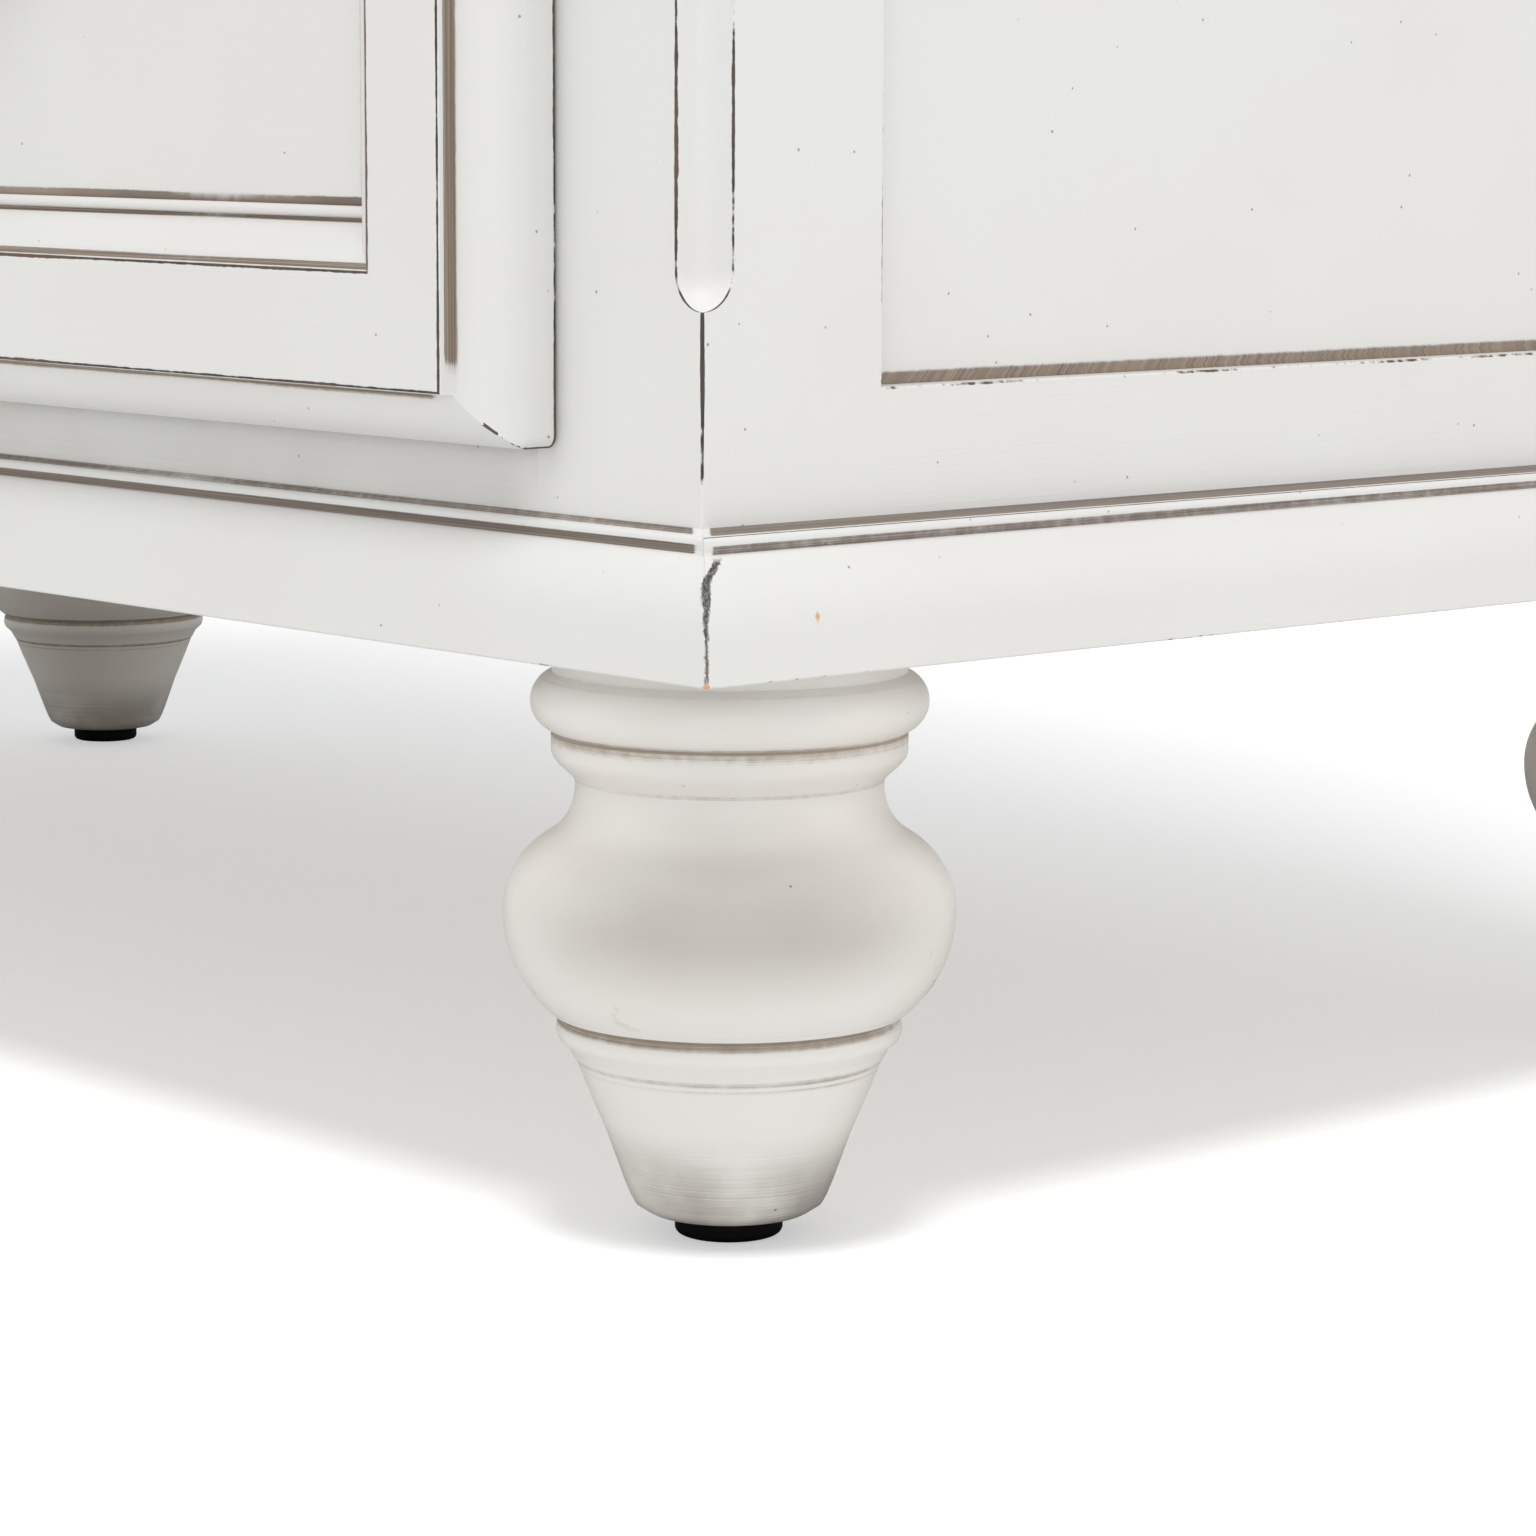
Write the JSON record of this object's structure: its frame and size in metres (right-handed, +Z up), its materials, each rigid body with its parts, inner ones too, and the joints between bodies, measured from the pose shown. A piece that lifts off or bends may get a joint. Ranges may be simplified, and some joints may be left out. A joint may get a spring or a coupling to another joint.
{
  "type": "armoire",
  "caption": "Painted armoire on turned feet: framed doors over a wide drawer, panelled sides, fluted corners, base moulding and coved cornice; shelf and hanging rod inside.",
  "frame": {"origin": "on the floor under the middle of the whole piece, cornice included", "axes": "+Z up; the front with the doors faces -Y; +X to the right seen from the front"},
  "size_m": [1.12, 0.585, 2.01],
  "materials": {
    "paint": "antique white paint with brown glaze in the grooves, satin",
    "bare_wood": "clear sealed, satin",
    "bronze": "dark antique bronze, satin",
    "steel": "satin",
    "catch": "matte",
    "glide": "satin"
  },
  "bodies": {
    "carcass": {"face_stile_left": "paint", "face_stile_right": "paint", "face_rail_top": "paint", "face_rail_middle": "paint", "face_rail_bottom": "paint", "side_stile_front_left": "paint", "side_stile_front_right": "paint", "side_stile_rear_left": "paint", "side_stile_rear_right": "paint", "side_rail_top_left": "paint", "side_rail_top_right": "paint", "side_rail_bottom_left": "paint", "side_rail_bottom_right": "paint", "side_panel_left": "paint", "side_panel_right": "paint", "back_panel": "paint", "floor_board": "bare_wood", "deck_board": "bare_wood", "top_board": "paint", "base_moulding_front": "paint", "base_moulding_left": "paint", "base_moulding_right": "paint", "cornice_front": "paint", "cornice_left": "paint", "cornice_right": "paint", "foot_front_left": "paint", "foot_front_right": "paint", "foot_rear_left": "paint", "foot_rear_right": "paint", "foot_glides": "glide", "hat_shelf": "bare_wood", "shelf_cleats": "bare_wood", "hanging_rod": "steel", "drawer_runners": "bare_wood", "hinge_posts": "bronze", "magnet_catches": "catch"},
    "door_left": {"door_left_stile_outer": "paint", "door_left_stile_inner": "paint", "door_left_rail_top": "paint", "door_left_rail_bottom": "paint", "door_left_panel": "paint", "door_left_knob": "bronze", "door_left_hinge_leaves": "bronze"},
    "door_right": {"door_right_stile_outer": "paint", "door_right_stile_inner": "paint", "door_right_rail_top": "paint", "door_right_rail_bottom": "paint", "door_right_panel": "paint", "door_right_knob": "bronze", "door_right_hinge_leaves": "bronze"},
    "drawer": {"drawer_stile_left": "paint", "drawer_stile_right": "paint", "drawer_rail_top": "paint", "drawer_rail_bottom": "paint", "drawer_panel": "paint", "drawer_side_left": "bare_wood", "drawer_side_right": "bare_wood", "drawer_back": "bare_wood", "drawer_bottom": "bare_wood", "drawer_knobs": "bronze"}
  },
  "joints": [
    {"name": "door_left_hinge", "type": "hinge", "parent": "carcass", "child": "door_left", "pos_m": [-0.4499, -0.239, 1.22], "axis": [0, 0, -1], "range_deg": [0, 110]},
    {"name": "door_right_hinge", "type": "hinge", "parent": "carcass", "child": "door_right", "pos_m": [0.4499, -0.239, 1.22], "axis": [0, 0, 1], "range_deg": [0, 110]},
    {"name": "drawer_slide", "type": "slide", "parent": "carcass", "child": "drawer", "axis": [0, -1, 0], "range_m": [0, 0.36]}
  ]
}
